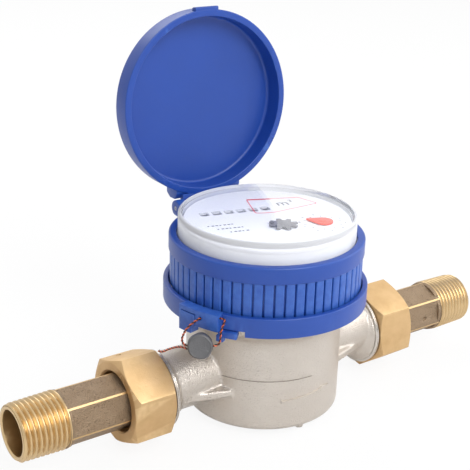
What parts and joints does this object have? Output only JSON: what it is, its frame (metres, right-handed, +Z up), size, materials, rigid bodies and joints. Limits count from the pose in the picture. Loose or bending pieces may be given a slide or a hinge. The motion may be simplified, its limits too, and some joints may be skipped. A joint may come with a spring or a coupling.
{
  "type": "water meter",
  "caption": "Dry dial single jet water meter with hinged lid, clear cover, ribbed locking ring, seal band and threaded brass unions at both ends.",
  "frame": {"origin": "centre of the flat foot under the drum", "axes": "+Z up along the drum, +X along the pipe towards the outlet, the lid's hinge on the +Y side"},
  "size_m": [0.2066, 0.0913, 0.1442],
  "materials": {
    "nickel_plate": "nickel plated cast brass, satin with fine casting grain",
    "brass": "turned and milled brass, bright with fine tool marks",
    "blue_plastic": "moulded blue plastic, soft gloss",
    "white_plastic": "moulded white plastic",
    "clear_plastic": "clear moulded plastic, polished",
    "dial_face": "printed white plate, satin",
    "roller_black": "black moulded plastic with white figures",
    "grey_plastic": "dark grey moulded plastic",
    "red_plastic": "red moulded plastic",
    "steel": "drawn steel",
    "magnet": "sintered magnet, dark grey",
    "rubber": "black rubber",
    "lead": "pressed lead, dull grey",
    "copper": "bare copper wire"
  },
  "bodies": {
    "meter": {"body_casting": "nickel_plate", "inlet_strainer": "white_plastic", "pivot_pin": "steel", "pressure_plate": "brass", "pressure_plate_o_ring": "rubber", "magnetic_shield_ring": "steel", "register_cup": "white_plastic", "gear_frame": "white_plastic", "gear_top_plate": "white_plastic", "roller_shaft": "steel", "dial_plate": "dial_face", "clear_cover": "clear_plastic", "slip_washer": "white_plastic", "locking_ring": "blue_plastic", "hinge_pin": "steel", "seal_band": "blue_plastic", "inlet_tailpiece": "brass", "outlet_tailpiece": "brass", "inlet_gasket": "rubber", "outlet_gasket": "rubber", "lead_seal": "lead", "seal_wire_loop": "copper", "seal_wire_tail": "copper"},
    "impeller": {"impeller": "white_plastic", "impeller_magnet": "magnet"},
    "follower": {"follower_spindle": "white_plastic", "follower_magnet": "magnet"},
    "star": {"star_spindle_wheel": "white_plastic", "leak_star": "grey_plastic"},
    "middle_wheel": {"middle_wheel": "white_plastic"},
    "pointer": {"pointer_spindle_wheel": "white_plastic", "dial_pointer": "red_plastic"},
    "roller_drive": {"roller_drive_wheel": "white_plastic"},
    "roller_1": {"number_roller_1": "roller_black"},
    "roller_2": {"number_roller_2": "roller_black"},
    "roller_3": {"number_roller_3": "roller_black"},
    "roller_4": {"number_roller_4": "roller_black"},
    "roller_5": {"number_roller_5": "roller_black"},
    "roller_6": {"number_roller_6": "roller_black"},
    "lid": {"lid": "blue_plastic"},
    "inlet_nut": {"inlet_union_nut": "brass"},
    "outlet_nut": {"outlet_union_nut": "brass"}
  },
  "joints": [
    {"name": "lid_hinge", "type": "hinge", "parent": "meter", "child": "lid", "pos_m": [0.00187, 0.03896, 0.0682], "axis": [-0.9988, 0.048, 0], "range_deg": [-92.92, 0]},
    {"name": "impeller_spin", "type": "hinge", "parent": "meter", "child": "impeller", "pos_m": [0, 0, 0.02], "axis": [0, 0, 1], "continuous": true},
    {"name": "follower_spin", "type": "hinge", "parent": "meter", "child": "follower", "pos_m": [0, 0, 0.05], "axis": [0, 0, 1], "continuous": true},
    {"name": "star_spin", "type": "hinge", "parent": "meter", "child": "star", "pos_m": [-0.00035, -0.00987, 0.06], "axis": [0, 0, 1], "continuous": true},
    {"name": "middle_wheel_spin", "type": "hinge", "parent": "meter", "child": "middle_wheel", "pos_m": [0.00797, -0.00833, 0.06], "axis": [0, 0, 1], "continuous": true},
    {"name": "pointer_spin", "type": "hinge", "parent": "meter", "child": "pointer", "pos_m": [0.0137, -0.01459, 0.067], "axis": [0, 0, 1], "continuous": true},
    {"name": "roller_drive_spin", "type": "hinge", "parent": "meter", "child": "roller_drive", "pos_m": [0.00974, 0.00685, 0.06], "axis": [0, 0, 1], "continuous": true},
    {"name": "roller_1_spin", "type": "hinge", "parent": "meter", "child": "roller_1", "pos_m": [-0.01783, 0.01448, 0.0688], "axis": [0.9637, -0.2669, 0], "continuous": true},
    {"name": "roller_2_spin", "type": "hinge", "parent": "meter", "child": "roller_2", "pos_m": [-0.01325, 0.01322, 0.0688], "axis": [0.9637, -0.2669, 0], "continuous": true},
    {"name": "roller_3_spin", "type": "hinge", "parent": "meter", "child": "roller_3", "pos_m": [-0.00868, 0.01195, 0.0688], "axis": [0.9637, -0.2669, 0], "continuous": true},
    {"name": "roller_4_spin", "type": "hinge", "parent": "meter", "child": "roller_4", "pos_m": [-0.0041, 0.01068, 0.0688], "axis": [0.9637, -0.2669, 0], "continuous": true},
    {"name": "roller_5_spin", "type": "hinge", "parent": "meter", "child": "roller_5", "pos_m": [0.00048, 0.00941, 0.0688], "axis": [0.9637, -0.2669, 0], "continuous": true},
    {"name": "roller_6_spin", "type": "hinge", "parent": "meter", "child": "roller_6", "pos_m": [0.00506, 0.00815, 0.0688], "axis": [0.9637, -0.2669, 0], "continuous": true},
    {"name": "inlet_nut_turn", "type": "hinge", "parent": "meter", "child": "inlet_nut", "pos_m": [-0.0604, 0, 0.018], "axis": [1, 0, 0], "continuous": true},
    {"name": "outlet_nut_turn", "type": "hinge", "parent": "meter", "child": "outlet_nut", "pos_m": [0.0604, 0, 0.018], "axis": [1, 0, 0], "continuous": true}
  ],
  "couplings": [
    {"joint": "follower_spin", "follows": "impeller_spin", "ratio": 1},
    {"joint": "star_spin", "follows": "impeller_spin", "ratio": -0.44444},
    {"joint": "middle_wheel_spin", "follows": "impeller_spin", "ratio": 0.13333},
    {"joint": "pointer_spin", "follows": "impeller_spin", "ratio": -0.05614},
    {"joint": "roller_drive_spin", "follows": "impeller_spin", "ratio": -0.098765},
    {"joint": "roller_1_spin", "follows": "impeller_spin", "ratio": 0.00000088889},
    {"joint": "roller_2_spin", "follows": "impeller_spin", "ratio": 0.0000088889},
    {"joint": "roller_3_spin", "follows": "impeller_spin", "ratio": 0.000088889},
    {"joint": "roller_4_spin", "follows": "impeller_spin", "ratio": 0.00088889},
    {"joint": "roller_5_spin", "follows": "impeller_spin", "ratio": 0.0088889},
    {"joint": "roller_6_spin", "follows": "impeller_spin", "ratio": 0.088889}
  ]
}
